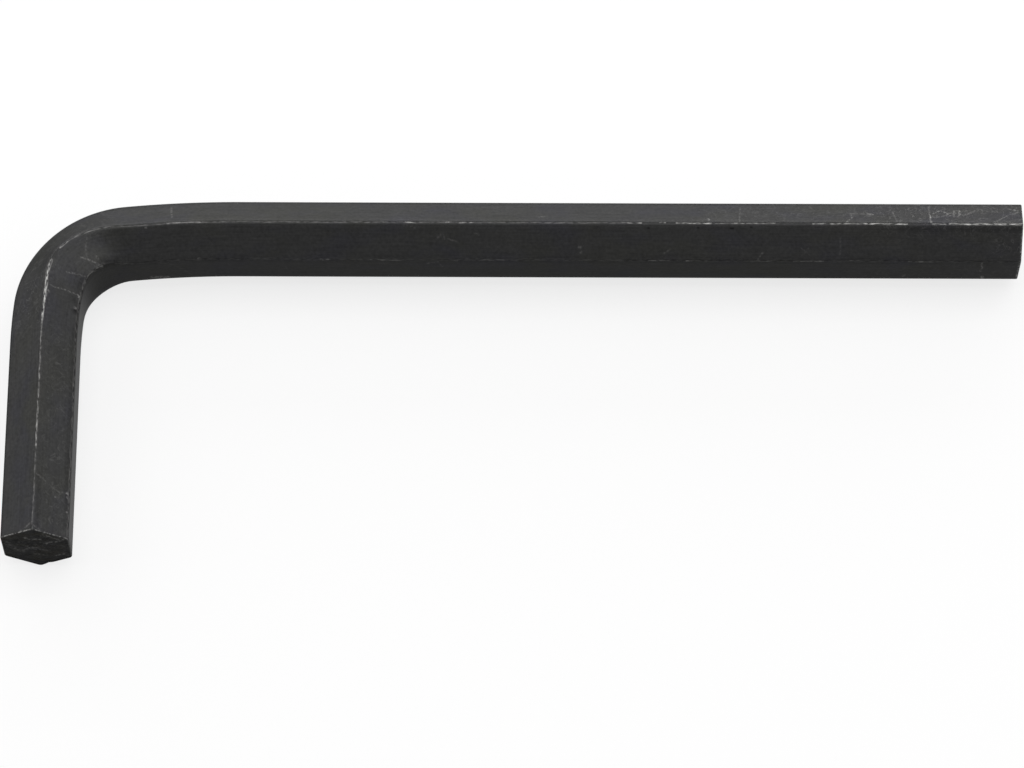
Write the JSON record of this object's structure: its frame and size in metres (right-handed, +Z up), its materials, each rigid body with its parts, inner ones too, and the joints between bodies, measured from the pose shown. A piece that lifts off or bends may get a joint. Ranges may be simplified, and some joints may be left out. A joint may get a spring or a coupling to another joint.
{
  "type": "hex key",
  "caption": "L-shaped hexagon key in black oxide steel: a long and a short arm joined by a rounded bend, lying flat, with cropped ends.",
  "frame": {"origin": "middle of the outline box at its underside, with the key lying flat as it comes to rest", "axes": "+X along the long arm towards its tip, -Y along the short arm towards its tip, +Z up, across two of the bar's corners"},
  "size_m": [0.0913, 0.034, 0.0068],
  "materials": {
    "black_oxide_steel": "black oxide over cold drawn steel, satin, worn bright along some corners"
  },
  "bodies": {
    "root": {"hex_key": "black_oxide_steel"}
  },
  "joints": []
}
